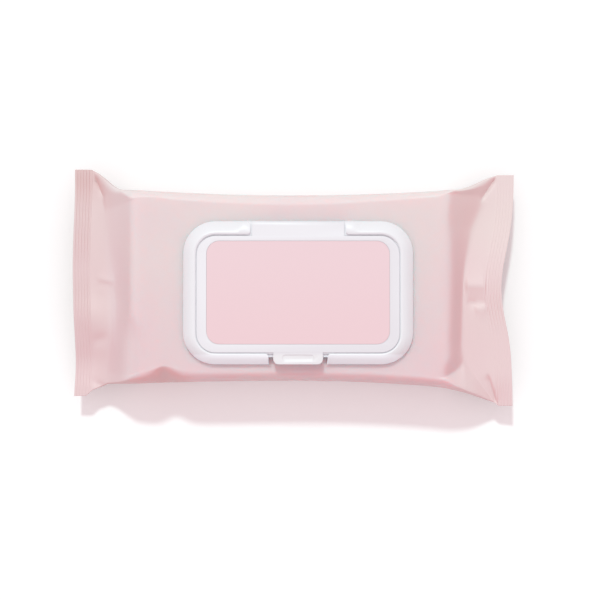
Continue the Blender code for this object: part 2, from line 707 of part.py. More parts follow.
def lid_inlay(group, material):
    top = BASE_BOTTOM + LID_TOP
    mesh = extrusion("lid_inlay", [rounded_rectangle(*INLAY)], top - INLAY_THICKNESS, top)
    place("lid_inlay", mesh, group, material, origin=(LID_CENTRE_X, HINGE_Y, HINGE_Z))


def peel_seal(group, helpers, material):
    low = FILM_TOP + SEAT_GAP
    width, depth, _, centre = MOUTH
    label_depth = depth - 2 * PEEL_MARGIN
    label = rounded_rectangle(width - 2 * PEEL_MARGIN, label_depth, PEEL_RADIUS, centre)
    pull_centre = (centre[0], centre[1] - label_depth / 2)
    pull = rounded_rectangle(PULL_TAB_WIDTH, 2 * PULL_TAB_LENGTH, PULL_TAB_LENGTH / 2, pull_centre)
    seal = place("peel_seal", extrusion("peel_seal", [label], low, low + PEEL_THICKNESS), group, material)
    pull_tab = helper("pull_tab", extrusion("pull_tab", [pull], low, low + PEEL_THICKNESS), helpers)
    combine(seal, pull_tab, "UNION")


def shade(group):
    for thing in group.objects:
        thing.data.shade_smooth()
        thing.data.set_sharp_from_angle(angle=math.radians(35))


def main():
    clear_scene()
    pack = new_collection("wet_wipes_pack")
    helpers = new_collection("helpers")
    film = finish("film", (0.82, 0.64, 0.65), 0.42)
    white = finish("white_plastic", (0.86, 0.85, 0.87), 0.35)
    pink = finish("pink_inlay", (0.84, 0.62, 0.65), 0.40)
    adhesive = finish("adhesive", (0.80, 0.79, 0.76), 0.60)
    label = finish("peel_label", (0.84, 0.82, 0.83), 0.45)

    place("film_pack", film_mesh(), pack, film)
    glue_ring(pack, adhesive)
    peel_seal(pack, helpers, label)
    lid_base(pack, helpers, white)
    lid(pack, helpers, white)
    lid_inlay(pack, pink)
    shade(pack)


main()
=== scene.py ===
"""Looks of the wet wipes pack: its film, its moulded lid, and the floor, the light and the camera.

Sizes and places are in millimetres, except in the materials, where they are in metres.
"""

import math

import bmesh
import bpy
import numpy as np
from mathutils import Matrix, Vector

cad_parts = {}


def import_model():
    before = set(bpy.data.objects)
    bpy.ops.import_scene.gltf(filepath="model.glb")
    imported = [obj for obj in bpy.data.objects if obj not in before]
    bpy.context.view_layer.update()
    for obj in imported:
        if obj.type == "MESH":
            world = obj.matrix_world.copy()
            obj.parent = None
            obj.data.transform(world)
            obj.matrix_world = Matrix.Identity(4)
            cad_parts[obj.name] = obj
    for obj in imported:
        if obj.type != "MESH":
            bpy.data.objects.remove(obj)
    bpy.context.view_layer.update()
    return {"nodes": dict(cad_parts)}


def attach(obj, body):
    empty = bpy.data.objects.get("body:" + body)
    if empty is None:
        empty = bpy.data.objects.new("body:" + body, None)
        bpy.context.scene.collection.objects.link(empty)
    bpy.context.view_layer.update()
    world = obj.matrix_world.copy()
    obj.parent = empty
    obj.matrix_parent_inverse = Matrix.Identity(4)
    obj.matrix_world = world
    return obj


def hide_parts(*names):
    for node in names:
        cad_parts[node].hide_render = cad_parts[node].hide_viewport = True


MM = 0.001

# Film pack, with the same values as the source of the part
PACK_LENGTH = 212.2
BODY_WIDTH = 88.5
BODY_HEIGHT = 34.0
CORNER_POWER = 2.6
LEFT_SHOULDER = 76.4
RIGHT_SHOULDER = 74.2
BACK_RECESS = 0.6
BACK_RECESS_WIDTH = 44.0
BACK_SEAM_WIDTH = 13.0
BACK_SEAM_THICKNESS = 0.35
SEAL_WIDTH = 8.7
FIN_HEIGHT = 16.0
FIN_THICKNESS = 0.8
LEFT_TOP_REACH = 57.1
LEFT_BOTTOM_REACH = 51.5
RIGHT_TOP_REACH = 54.8
RIGHT_BOTTOM_REACH = 56.2
MIDDLE_LINE_Y = (RIGHT_BOTTOM_REACH - LEFT_TOP_REACH) / 2
SEAL_START = PACK_LENGTH / 2 - SEAL_WIDTH

# Lid and frame, with the same values as the source of the part
LID_CENTRE_X = 2.2
LID_DROP = 2.75
GLUE_THICKNESS = 0.4
SEAT_GAP = 0.1
FRAME_WIDTH = 108.0
FRAME_DEPTH = 67.3
FRAME_RADIUS = 15.0
SIDE_BAR = 6.05
TOP_BAR = 6.4
BOTTOM_BAR = 5.0
FIT_GAP = 0.35
HINGE_SIDE_GAP = 0.7
LID_TOP = 6.0
HINGE_TAB_WIDTH = 43.2
HINGE_TAB_GAP = 0.8
LATCH_TAB_WIDTH = 23.2
LATCH_NOTCH_WIDTH = 27.8
LID_CENTRE_Y = MIDDLE_LINE_Y - LID_DROP
BASE_BOTTOM = BODY_HEIGHT + SEAT_GAP + GLUE_THICKNESS + SEAT_GAP
LID_TOP_Z = BASE_BOTTOM + LID_TOP

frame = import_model()
nodes = frame["nodes"]


def mix(start, end, share):
    return start + (end - start) * share


def clip(value):
    return np.clip(value, 0.0, 1.0)


def ease(value):
    value = clip(value)
    return value * value * (3 - 2 * value)


def bell(value):
    return np.exp(-value * value)


def table(value, pairs):
    """Values between the entries of a short table."""
    return np.interp(value, [at for at, _ in pairs], [entry for _, entry in pairs])


def add_object(name, data):
    thing = bpy.data.objects.new(name, data)
    bpy.context.scene.collection.objects.link(thing)
    return thing


# Film

# A station runs along one end of the pack: -1 is the middle of the pack, 0 the shoulder, 1 the start of
# the fin and 2 its edge. A reach is a distance across the pack, from its middle line towards a side seam.

# The fins are drawn thinner than their solids
SKIN_FIN = 0.5

# How far the ridge along each side lies inside the seam, by station
LEFT_TOP_INSETS = (
    (-1, 5.0), (-0.4, 4.4), (-0.12, 3.6), (-0.03, 4.4), (0, 5.2), (0.12, 3.4),
    (0.27, 1.4), (0.39, 2.7), (0.61, 3.8), (0.82, 3.3), (0.94, 1.2), (1, 0.5),
)
LEFT_BOTTOM_INSETS = (
    (-1, 4.5), (-0.5, 4.5), (-0.38, 4.8), (-0.31, 5.7), (-0.25, 7.1), (-0.195, 8.2), (-0.13, 6.4),
    (-0.06, 5.3), (0, 3.9), (0.15, 2.0), (0.35, 1.0), (0.6, 0.7), (1, 0.5),
)
RIGHT_TOP_INSETS = (
    (-1, 5.0), (-0.3, 3.9), (-0.06, 3.4), (0, 1.8), (0.1, 0.9),
    (0.3, 1.4), (0.5, 2.3), (0.75, 2.9), (0.93, 1.7), (1, 0.5),
)
RIGHT_BOTTOM_INSETS = ((-1, 4.5), (-0.2, 4.5), (0, 4.2), (0.2, 2.4), (0.4, 1.2), (1, 0.5))

# The steep drop from the face to a shelf before the fin, for the left end (-1) and the right one (1). The
# first three are tables by place, from the lower edge of the body (-1) to the upper one (1): the station
# of the foot of the drop, how softly the drop starts, and the power of its curve. Then come the softness
# at its foot and the shelf's height.
FOOT = {
    -1: (
        (-0.85, 0.66), (-0.60, 0.60), (-0.42, 0.53), (-0.12, 0.49),
        (0.31, 0.58), (0.63, 0.69), (0.83, 0.76),
    ),
    1: (
        (-0.80, 0.36), (-0.70, 0.30), (-0.60, 0.27), (-0.13, 0.38),
        (0.30, 0.46), (0.68, 0.575), (0.88, 0.72), (1.0, 0.80),
    ),
}
SOFTNESS = {
    -1: ((-0.85, 9.0), (-0.56, 7.5), (-0.3, 2.4), (1, 1.8)),
    1: ((-1, 2.6), (-0.6, 3.0), (0.0, 3.6), (0.6, 3.0), (0.9, 1.6)),
}
STEEP_POWER = {-1: ((0, 1.4),), 1: ((0.65, 1.4), (0.9, 1.2))}
FOOT_SOFTNESS = {-1: 1.8, 1: 1.7}
SHELF_SHARE = {-1: 0.10, 1: 0.06}

# A soft bend is a weighted mean of the heights at BEND_STEPS steps to each side. BEND_SCALE steps make one
# softness.
BEND_STEPS = 6
BEND_SCALE = 3

# How far the fold lies inside the ridge in the middle of the pack. At the shoulder it is FIN_THICKNESS.
BODY_FOLD_INSET = 6 * FIN_THICKNESS

# Columns of a quarter of the section: across the face, across the fold and round the side
FLAT_STEPS = 40
FOLD_STEPS = 12
ROUND_STEPS = 12
FRONT_COLUMNS = 2 * (FLAT_STEPS + FOLD_STEPS + ROUND_STEPS) + 1

# Rows of one end of the pack: the last station of each stretch and how many rows it has
ROWS = ((-0.42, 19), (-0.2, 14), (0, 20), (1, 58))
ROWS_PER_RIB = 8


class Corner:
    """One corner of the pack as seen from the front: its body, its folded ear and its end of the fin.

    The seam swells out by spread towards the shoulder, and from there runs out to the reach of the fin.
    That flare has a first station, a last one and a softness. The fold of the ear turns at a station, at
    an inset from the side of the body. With a sag of 0 the ridge of the ear falls straight to the fin, and
    with 1 it follows the face.
    """

    def __init__(self, end, upper, spread, fin_reach, flare, turn_station, turn_inset, sag, insets):
        self.end = end
        self.upper = upper
        self.spread = spread
        self.fin_reach = fin_reach
        self.flare_start, self.flare_finish, self.flare_softness = flare
        self.turn_station = turn_station
        self.turn_reach = BODY_WIDTH / 2 - turn_inset
        self.sag = sag
        self.insets = insets
        self.shoulder = LEFT_SHOULDER if end < 0 else RIGHT_SHOULDER

    def seam(self, station):
        body = BODY_WIDTH / 2 + self.spread * clip(1 + station) ** 2
        share = clip((station - self.flare_start) / (self.flare_finish - self.flare_start))
        flare = mix(share, ease(share), self.flare_softness)
        return np.where(station < 0, body, mix(BODY_WIDTH / 2 + self.spread, self.fin_reach, flare))

    def ridge(self, station):
        return self.seam(station) - table(station, self.insets)

    def fold(self, station):
        body = self.ridge(station) - mix(BODY_FOLD_INSET, FIN_THICKNESS, clip(1 + station))
        start = self.ridge(np.float64(0.0)) - FIN_THICKNESS
        finish_reach = self.fin_reach - 2 * FIN_THICKNESS
        rising = mix(start, self.turn_reach, clip(station / self.turn_station))
        share = (np.minimum(station, 1.0) - self.turn_station) / (1 - self.turn_station)
        falling = mix(self.turn_reach, finish_reach, clip(share))
        falling = np.minimum(self.ridge(station) - FIN_THICKNESS, falling)
        return np.where(station < 0, body, np.where(station < self.turn_station, rising, falling))

    def face_height(self, station, reach):
        """Half height of the face, which bends softly at the shoulder and drops to a shelf."""
        half, thin = BODY_HEIGHT / 2, SKIN_FIN / 2
        shelf = SHELF_SHARE[self.end] * half
        place = (reach if self.upper else -reach) / (BODY_WIDTH / 2)
        foot = table(place, FOOT[self.end])
        softness = table(place, SOFTNESS[self.end])
        power = table(place, STEEP_POWER[self.end])
        span = SEAL_START - self.shoulder
        along = np.where(station < 0, station * self.shoulder, station * span)
        softness = mix(softness, FOOT_SOFTNESS[self.end], clip(along / span / foot))
        total = 0.0
        weights = 0.0
        for step in range(-BEND_STEPS, BEND_STEPS + 1):
            at = (along + step * softness / BEND_SCALE) / span
            steep = mix(half, shelf, 1 - (1 - clip(at / foot)) ** power)
            level = mix(shelf, thin, clip((at - foot) / (1 - foot)))
            weight = math.exp(-((step / BEND_SCALE) ** 2))
            total = total + weight * np.where(at < foot, steep, level)
            weights += weight
        return total / weights

    def ridge_height(self, station):
        straight = mix(BODY_HEIGHT / 2, SKIN_FIN / 2, clip(station))
        return mix(straight, self.face_height(station, self.fold(station)), self.sag)


CORNERS = {
    (-1, True): Corner(
        end=-1,
        upper=True,
        spread=2.7,
        fin_reach=LEFT_TOP_REACH,
        flare=(0.24, 1.08, 0.7),
        turn_station=0.68,
        turn_inset=7.0,
        sag=0.0,
        insets=LEFT_TOP_INSETS,
    ),
    (-1, False): Corner(
        end=-1,
        upper=False,
        spread=1.4,
        fin_reach=LEFT_BOTTOM_REACH,
        flare=(0.62, 1.35, 0.1),
        turn_station=0.62,
        turn_inset=4.0,
        sag=0.85,
        insets=LEFT_BOTTOM_INSETS,
    ),
    (1, True): Corner(
        end=1,
        upper=True,
        spread=2.4,
        fin_reach=RIGHT_TOP_REACH,
        flare=(0.1, 1.1, 0.8),
        turn_station=0.76,
        turn_inset=-0.3,
        sag=0.0,
        insets=RIGHT_TOP_INSETS,
    ),
    (1, False): Corner(
        end=1,
        upper=False,
        spread=3.3,
        fin_reach=RIGHT_BOTTOM_REACH,
        flare=(0.0, 1.25, 0.2),
        turn_station=0.36,
        turn_inset=8.7,
        sag=0.0,
        insets=RIGHT_BOTTOM_INSETS,
    ),
}

# The upper side is a slanted band, which drops by a share of its height before it turns under
BAND_SPREAD = 0.7
BAND_DROP = 0.17
BAND_SQUARENESS = 8
BAND_CURVE = 0.45

# The lower side is rounded, and hollow where its ridge lies so far inside that the edge is pressed in
HOLLOW_POWER = 1.5
HOLLOW_INSET = 5.6
HOLLOW_INSET_SPAN = 2.0
HOLLOW_STATION = -0.33
HOLLOW_STATION_SPAN = 0.08


def side_round(corner, station, inset, angle):
    """Shares of the way out and of the height of the side, at an angle from the ridge to the seam."""
    across, up = math.sin(angle), max(0.0, math.cos(angle))
    if corner.upper:
        place = across**BAND_SPREAD
        return place, (1 - BAND_DROP * place) * max(0.0, 1 - place**BAND_SQUARENESS) ** BAND_CURVE
    pressed = clip((inset - HOLLOW_INSET) / HOLLOW_INSET_SPAN)
    pressed = pressed * clip((station - HOLLOW_STATION) / HOLLOW_STATION_SPAN)
    power = mix(2 / CORNER_POWER, HOLLOW_POWER, pressed)
    return across**power, up**power


def quarter(corner, station):
    """Columns of (reach, half height) from the middle line to the side seam, for all stations at once."""
    fold, ridge, seam = corner.fold(station), corner.ridge(station), corner.seam(station)
    low, high = corner.face_height(station, fold), corner.ridge_height(station)
    columns = []
    for step in range(FLAT_STEPS + 1):
        reach = fold * step / FLAT_STEPS
        columns.append((reach, corner.face_height(station, reach)))
    for step in range(1, FOLD_STEPS + 1):
        share = step / FOLD_STEPS
        columns.append((mix(fold, ridge, share), mix(low, high, share)))
    for step in range(1, ROUND_STEPS + 1):
        place, drop = side_round(corner, station, seam - ridge, math.pi / 2 * step / ROUND_STEPS)
        columns.append((mix(ridge, seam, place), high * drop))
    return columns


# The left fin bows inward on both sides of one place, fully at LEFT_WAVE_HALF from it, and rises towards
# its upper end
LEFT_WAVE = 1.2
LEFT_WAVE_START = 0.16
LEFT_WAVE_HALF = 0.82
LEFT_LIFT = 1.3
LEFT_LIFT_PACE = 2.2
LEFT_LIFT_SHIFT = 0.8

# The right fin is hollow in its middle, where it also rises, and its lower end is tucked in past a place
RIGHT_HOLLOW = 6.5
RIGHT_HOLLOW_HALF = 0.46
RIGHT_LIFT = 3.0
RIGHT_LIFT_SHIFT = 0.5
RIGHT_TUCK = 0.9
RIGHT_TUCK_PLACE = -0.35


def fin_bow(end, along):
    """How far a fin bows inward and up, at places from its lower end (-1) to its upper one (1)."""
    if end < 0:
        wave = 0.5 - 0.5 * np.cos(math.pi * (along - LEFT_WAVE_START) / LEFT_WAVE_HALF)
        return LEFT_WAVE * wave, LEFT_LIFT * (np.sin(LEFT_LIFT_PACE * along) - LEFT_LIFT_SHIFT)
    hollow = bell(along / RIGHT_HOLLOW_HALF)
    tucked = ease((RIGHT_TUCK_PLACE - along) / RIGHT_HOLLOW_HALF)
    return RIGHT_HOLLOW * hollow + RIGHT_TUCK * tucked, RIGHT_LIFT * (hollow - RIGHT_LIFT_SHIFT)


# The right shoulder lies nearer the middle of the pack round this reach in the upper half, and from it
# outwards in the lower half: how much, over which width and in which curve
EARLY_REACH = 33
EARLY_SPAN = 0.3
EARLY_UPPER = (1.5, 12, bell)
EARLY_LOWER = (2.6, 8, ease)


def film_point(corner, station, reach, rise):
    """A place of the film at a reach, and at a rise above the side seam."""
    away = 1 if corner.upper else -1
    inward, lift = fin_bow(corner.end, away * reach / corner.fin_reach)
    towards_fin = ease(station)
    shelf_x = mix(corner.shoulder, SEAL_START, station) - inward * towards_fin
    fin_x = SEAL_START + SEAL_WIDTH * (station - 1) - inward
    body_x = corner.shoulder * (1 + station)
    x = np.where(station <= 0, body_x, np.where(station <= 1, shelf_x, fin_x))
    if corner.end > 0:
        most, width, curve = EARLY_UPPER if corner.upper else EARLY_LOWER
        x = x - most * curve((reach - EARLY_REACH) / width) * bell(station / EARLY_SPAN)
    seam_z = mix(BODY_HEIGHT / 2, FIN_HEIGHT + lift, towards_fin)
    return np.stack([corner.end * x, MIDDLE_LINE_Y + away * reach, seam_z + rise], axis=-1)


# The station at which the sunken stretch of the back starts to end
BACK_END = -0.12
BACK_END_SPAN = 0.3

# Half the width of the edge of the strip on the back, and the stations before the fin and the half height
# of the pack over which the strip fades
BACK_SEAM_EDGE = 0.2
BACK_SEAM_FADE = 0.1
BACK_SEAM_RISE = 4


def back_point(corner, station, reach, rise):
    """A place on the back, which is sunken along its middle under the strip of the lap seam."""
    place = film_point(corner, station, reach, -rise)
    body = 1 - ease((station - BACK_END) / BACK_END_SPAN)
    sunken = BACK_RECESS * bell(reach / (BACK_RECESS_WIDTH / 3)) * body
    on_strip = ease((BACK_SEAM_WIDTH / 2 + BACK_SEAM_EDGE - reach) / (2 * BACK_SEAM_EDGE))
    strip_height = BACK_SEAM_THICKNESS * on_strip * ease((1 - station) / BACK_SEAM_FADE)
    place[..., 2] += sunken - strip_height * clip(rise / BACK_SEAM_RISE)
    return place


def half_grid(end, station):
    """Points of one end of the pack, as stations by places round the section."""
    top, bottom = CORNERS[end, True], CORNERS[end, False]
    above, below = quarter(top, station), quarter(bottom, station)
    columns = [film_point(top, station, reach, rise) for reach, rise in reversed(above)]
    columns += [film_point(bottom, station, reach, rise) for reach, rise in below[1:]]
    columns += [back_point(bottom, station, reach, rise) for reach, rise in reversed(below[:-1])]
    columns += [back_point(top, station, reach, rise) for reach, rise in above[1:-1]]
    return np.stack(columns, axis=1)


def stations():
    """Stations of the rows of one end of the pack."""
    start = -1
    rows = [[start]]
    for finish, count in (*ROWS, (2, ROWS_PER_RIB * RIB_COUNT)):
        rows.append(np.linspace(start, finish, count + 1)[1:])
        start = finish
    return np.concatenate(rows)


# Softening of the folds: the share by which a point moves in a round, the rounds, and the share by which
# the side seams hold it back, over how many columns
SMOOTH_AMOUNT = 0.5
SMOOTH_ROUNDS = 8
SEAM_HOLD = 0.75
SEAM_HOLD_COLUMNS = 3.0


def smoothed(points):
    """Soft folds: each point moves towards the middle of its neighbours, least along the side seams."""
    columns = points.shape[1]
    place = np.arange(columns) % (columns // 2)
    from_seam = np.minimum(place, columns // 2 - place)
    amount = (SMOOTH_AMOUNT * (1 - SEAM_HOLD * bell(from_seam / SEAM_HOLD_COLUMNS)))[:, None]
    for _ in range(SMOOTH_ROUNDS):
        around = (np.roll(points, 1, axis=1) + np.roll(points, -1, axis=1)) / 2
        along = points.copy()
        along[1:-1] = (points[:-2] + points[2:]) / 2
        points = points + amount * ((around + along) / 2 - points)
    return points


def film_grid():
    """Points of the film in rows from left to right, and the station of each row, negative on the left."""
    station = stations()
    left, right = half_grid(-1, station)[::-1], half_grid(1, station)[1:]
    order = np.concatenate([-station[::-1], station[1:]])
    return smoothed(np.concatenate([left, right])), order


# Creases of the front film: start, finish, how wide it is on its left and right side, and height. A start
# and finish are (x, y) places, and left is to the left of the way from start to finish.
CREASES = (
    ((-94.0, 4.3), (-86.5, 2.6), 3.2, 1.1, 0.9),
    ((-94.0, -1.2), (-90.2, -1.7), 1.3, 0.9, 0.22),
    ((-86.2, -1.5), (-85.8, -28.0), 0.9, 1.6, 0.18),
    ((90.4, 42.2), (96.7, 52.2), 1.5, 0.7, -2.0),
    ((93.5, -42.8), (97.6, -55.2), 0.5, 1.8, -1.5),
    ((-95.4, 52.5), (-91.2, 43.0), 1.5, 0.6, -1.2),
    ((82.5, 1.1), (92.0, 1.1), 5.0, 5.6, 1.9),
    ((83.5, -7.6), (91.5, -7.6), 4.5, 1.8, -1.5),
    ((87.3, -9.9), (92.0, -9.9), 1.6, 3.2, 1.3),
)
CREASE_FADE = 1.5

# Shallow dents and swellings: place, half sizes along X and Y, turn in degrees, and height
DENTS = (
    ((-92.5, -25.0), 4.2, 2.8, 25, -0.8),
    ((-99.0, -14.0), 12.0, 9.0, 0, 2.5),
    ((-99.0, -37.0), 12.0, 9.0, 0, -2.8),
    ((-102.5, 58.0), 7.0, 9.0, 0, 2.2),
    ((95.0, -58.0), 9.0, 9.0, 0, -2.0),
    ((-92.5, -46.8), 5.5, 1.8, -28, -1.0),
)

# The station from which the back follows the creases of the front, and how many later it does so fully
THIN_STATION = 0.55
THIN_STATION_SPAN = 0.4


def add_details(points, order):
    """Creases and dents of the front film. The back follows them where the pack is thin."""
    x, y = points[..., 0], points[..., 1]
    lift = np.zeros_like(x)
    for start, finish, left, right, height in CREASES:
        run = np.subtract(finish, start)
        length = np.hypot(*run)
        run = run / length
        along = (x - start[0]) * run[0] + (y - start[1]) * run[1]
        across = (y - start[1]) * run[0] - (x - start[0]) * run[1]
        fade = ease((along + CREASE_FADE) / (2 * CREASE_FADE))
        fade = fade * ease((length + CREASE_FADE - along) / (2 * CREASE_FADE))
        lift += height * fade * np.exp(-np.abs(across) / np.where(across > 0, left, right))
    for place, half_x, half_y, turn, height in DENTS:
        turn = math.radians(turn)
        along = (x - place[0]) * math.cos(turn) + (y - place[1]) * math.sin(turn)
        across = (y - place[1]) * math.cos(turn) - (x - place[0]) * math.sin(turn)
        lift += height * bell(along / half_x) * bell(across / half_y)
    lift[:, FRONT_COLUMNS:] *= ease((np.abs(order) - THIN_STATION) / THIN_STATION_SPAN)[:, None]
    points[..., 2] += lift
    return points


# Crimped ribs of the fins, and how strong they are along Y. The left ones are weak low down and strong
# above, and fade round a place. The right ones have a base, swells and fades (height, middle, half size),
# and an end low down where they are stronger.
RIB_COUNT = 6
RIB_DEPTH = 0.17
LEFT_RIB_WEAK, LEFT_RIB_STRONG = 0.7, 1.6
LEFT_RIB_RISE_Y, LEFT_RIB_RISE_SPAN = -24, 14
LEFT_RIB_FADE, LEFT_RIB_FADE_Y, LEFT_RIB_FADE_HALF = 0.6, 8, 7
RIGHT_RIB_BASE = 0.6
RIGHT_RIB_SWELLS = ((0.7, -6, 12), (-0.45, -26, 10))
RIGHT_RIB_END, RIGHT_RIB_END_Y, RIGHT_RIB_END_SPAN = 0.5, -40, 8


def add_ribs(points, order):
    station = np.abs(order)[:, None]
    y = points[:, :, 1]
    wave = -np.cos(2 * math.pi * RIB_COUNT * (station - 1))
    inside = clip((station - 1) * RIB_COUNT * 2) * clip((2 - station) * RIB_COUNT * 2)
    left = mix(LEFT_RIB_WEAK, LEFT_RIB_STRONG, ease((y - LEFT_RIB_RISE_Y) / LEFT_RIB_RISE_SPAN))
    left = left * mix(1.0, LEFT_RIB_FADE, bell((y - LEFT_RIB_FADE_Y) / LEFT_RIB_FADE_HALF))
    right = RIGHT_RIB_BASE
    for height, middle, half in RIGHT_RIB_SWELLS:
        right = right + height * bell((y - middle) / half)
    right = right + RIGHT_RIB_END * ease((RIGHT_RIB_END_Y - y) / RIGHT_RIB_END_SPAN)
    strength = np.where(order[:, None] < 0, left, right)
    points[:, :, 2] += RIB_DEPTH * wave * inside * strength * (station > 1)
    return points


def skin(name, points):
    """A closed mesh from a grid of points, whose front and back are joined at each end."""
    rows, columns = points.shape[:2]
    index = np.arange(rows * columns).reshape(rows, columns)
    after = np.roll(index, -1, axis=1)
    quads = np.stack([index[:-1], after[:-1], after[1:], index[1:]], axis=-1).reshape(-1, 4).tolist()
    for end in (index[0], index[-1]):
        front, back = end[: columns // 2 + 1], np.append(end[0], end[columns // 2 :][::-1])
        for near in range(columns // 2):
            quads.append(list(dict.fromkeys([front[near], front[near + 1], back[near + 1], back[near]])))
    mesh = bpy.data.meshes.new(name)
    mesh.from_pydata((points.reshape(-1, 3) * MM).tolist(), [], quads)
    shape = bmesh.new()
    shape.from_mesh(mesh)
    bmesh.ops.recalc_face_normals(shape, faces=shape.faces)
    shape.to_mesh(mesh)
    shape.free()
    mesh.shade_smooth()
    return add_object(name, mesh)


# Materials


def material(name, colour, roughness):
    made = bpy.data.materials.new(name)
    made.use_nodes = True
    shader = shader_of(made)
    shader.inputs["Base Color"].default_value = (*colour, 1.0)
    shader.inputs["Roughness"].default_value = roughness
    return made


def shader_of(made):
    return made.node_tree.nodes["Principled BSDF"]


def add_node(made, kind, **values):
    """A node. A value goes to the input of its name, or else to the setting of its name."""
    node = made.node_tree.nodes.new(kind)
    for key, value in values.items():
        if key in node.inputs:
            node.inputs[key].default_value = value
        else:
            setattr(node, key, value)
    return node


def connect(made, source, output, target, socket):
    made.node_tree.links.new(source.outputs[output], target.inputs[socket])


def ramp_of(made, source, output, low, high, lowest=0.0):
    """A value that rises to 1 between two readings of another value, from 0 or from a lowest value."""
    node = add_node(made, "ShaderNodeMapRange", interpolation_type="SMOOTHSTEP")
    node.inputs["From Min"].default_value = low
    node.inputs["From Max"].default_value = high
    node.inputs["To Min"].default_value = lowest
    connect(made, source, output, node, "Value")
    return node


def tint(made, source, output, start, finish, colour, limit=None):
    """Multiplies the base colour by another one as a reading goes from start to finish, within a limit."""
    socket = shader_of(made).inputs["Base Color"]
    node = add_node(made, "ShaderNodeMixRGB", blend_type="MULTIPLY")
    node.inputs["Color1"].default_value = socket.default_value
    node.inputs["Color2"].default_value = (*colour, 1.0)
    if socket.links:
        made.node_tree.links.new(socket.links[0].from_socket, node.inputs["Color1"])
    share = ramp_of(made, source, output, start, finish)
    if limit:
        both = add_node(made, "ShaderNodeMath", operation="MULTIPLY")
        connect(made, share, "Result", both, 0)
        connect(made, limit, "Result", both, 1)
        connect(made, both, 0, node, "Fac")
    else:
        connect(made, share, "Result", node, "Fac")
    made.node_tree.links.new(node.outputs["Color"], socket)


def places_of(made):
    """Where a point of the object is, and the same split into X, Y and Z."""
    place = add_node(made, "ShaderNodeTexCoord")
    axes = add_node(made, "ShaderNodeSeparateXYZ")
    connect(made, place, "Object", axes, "Vector")
    return place, axes


def add_grain(made, place, scale, detail, strength, distance):
    grain = add_node(made, "ShaderNodeTexNoise", Scale=scale, Detail=detail)
    bump = add_node(made, "ShaderNodeBump", Strength=strength, Distance=distance)
    connect(made, place, "Object", grain, "Vector")
    connect(made, grain, "Fac", bump, "Height")
    connect(made, bump, "Normal", shader_of(made), "Normal")


FILM_PINK = (0.795, 0.690, 0.688)
SCATTER_RADIUS = (1.0, 0.3, 0.3)
SCATTER_SCALE = 0.009
SCATTER_WEIGHT = 0.75

# Distances along X at which the film starts to wrap the stack of wipes, and where it does fully
STACK_END = 0.082
STACK_FULL = 0.070

# The way the key light comes from, up and towards +Y: film that faces it stays palest, and film turned
# away from it gets painted shade
LIT_SIDE = (0.0, 0.56, 0.83)

# How much of the first painted shade on turned film is left past the left end of the stack
PAINTED_SHADE_LEAST = 0.55


def film_material():
    """Pink film, which scatters light deeply round the stack of wipes and not in its thin ends, with
    painted shade and a painted highlight by the way it faces the key light.
    """
    made = material("film", FILM_PINK, roughness=0.52)
    shader = shader_of(made)
    shader.inputs["Subsurface Radius"].default_value = SCATTER_RADIUS
    shader.inputs["Subsurface Scale"].default_value = SCATTER_SCALE
    place, axes = places_of(made)
    outward = add_node(made, "ShaderNodeMath", operation="ABSOLUTE")
    connect(made, axes, "X", outward, 0)
    scatter = add_node(made, "ShaderNodeMath", operation="MULTIPLY")
    scatter.inputs[1].default_value = SCATTER_WEIGHT
    connect(made, ramp_of(made, outward, 0, STACK_END, STACK_FULL), "Result", scatter, 0)
    connect(made, scatter, 0, shader, "Subsurface Weight")

    cloud = add_node(made, "ShaderNodeTexNoise", Scale=22.0, Detail=2.0)
    connect(made, place, "Object", cloud, "Vector")
    facing_light = add_node(made, "ShaderNodeVectorMath", operation="DOT_PRODUCT")
    facing_light.inputs[1].default_value = LIT_SIDE
    connect(made, place, "Normal", facing_light, 0)
    normal = add_node(made, "ShaderNodeSeparateXYZ")
    connect(made, place, "Normal", normal, "Vector")

    # Stretches along X to which some tints are limited
    stack = ramp_of(made, axes, "X", -0.079, -0.071, lowest=PAINTED_SHADE_LEAST)
    left = ramp_of(made, axes, "X", -0.045, -0.055)
    rest = ramp_of(made, axes, "X", -0.055, -0.045)
    upper_left = ramp_of(made, axes, "X", -0.088, -0.095)

    for source, output, start, finish, colour, limit in (
        # Faint clouds, and painted shade that darkens the film towards the bottom
        (cloud, "Fac", 0.3, 0.7, (1.0, 0.965, 0.985), None),
        (axes, "Y", 0.045, -0.045, (0.990, 0.930, 0.950), None),
        # Painted shade: deeper pink on film that turns away from the key light, deeper still on the
        # pressed-in edge at the left; then painted light that lifts film turned furthest away, outside the
        # left end
        (facing_light, "Value", 0.76, 0.42, (1.0, 0.875, 0.88), stack),
        (facing_light, "Value", 0.42, 0.15, (1.0, 0.91, 0.89), left),
        (facing_light, "Value", 0.35, 0.05, (1.03, 1.06, 1.06), rest),
        # The left fin and its upper end
        (axes, "X", -0.084, -0.092, (0.975, 0.93, 0.915), None),
        (axes, "Y", 0.036, 0.052, (0.975, 0.925, 0.92), upper_left),
        # The right end, and a painted highlight on film that faces +Y, towards the key light
        (axes, "X", 0.070, 0.082, (1.02, 1.005, 0.985), None),
        (normal, "Y", 0.2, 0.6, (1.04, 1.08, 1.07), None),
    ):
        tint(made, source, output, start, finish, colour, limit)
    add_grain(made, place, scale=420.0, detail=3.0, strength=0.05, distance=0.0002)
    return made


def plastic_material(name, colour, roughness, tints=()):
    """Plastic or label film with a fine grain. Each tint has an axis, a start, a finish and a colour."""
    made = material(name, colour, roughness)
    place, axes = places_of(made)
    for axis, start, finish, tint_colour in tints:
        tint(made, axes, axis, start, finish, tint_colour)
    add_grain(made, place, scale=900.0, detail=2.0, strength=0.04, distance=0.0001)
    return made


# Y just before the lower bar of the frame, and on it
LOWER_BAR = (-0.0316, -0.0330)

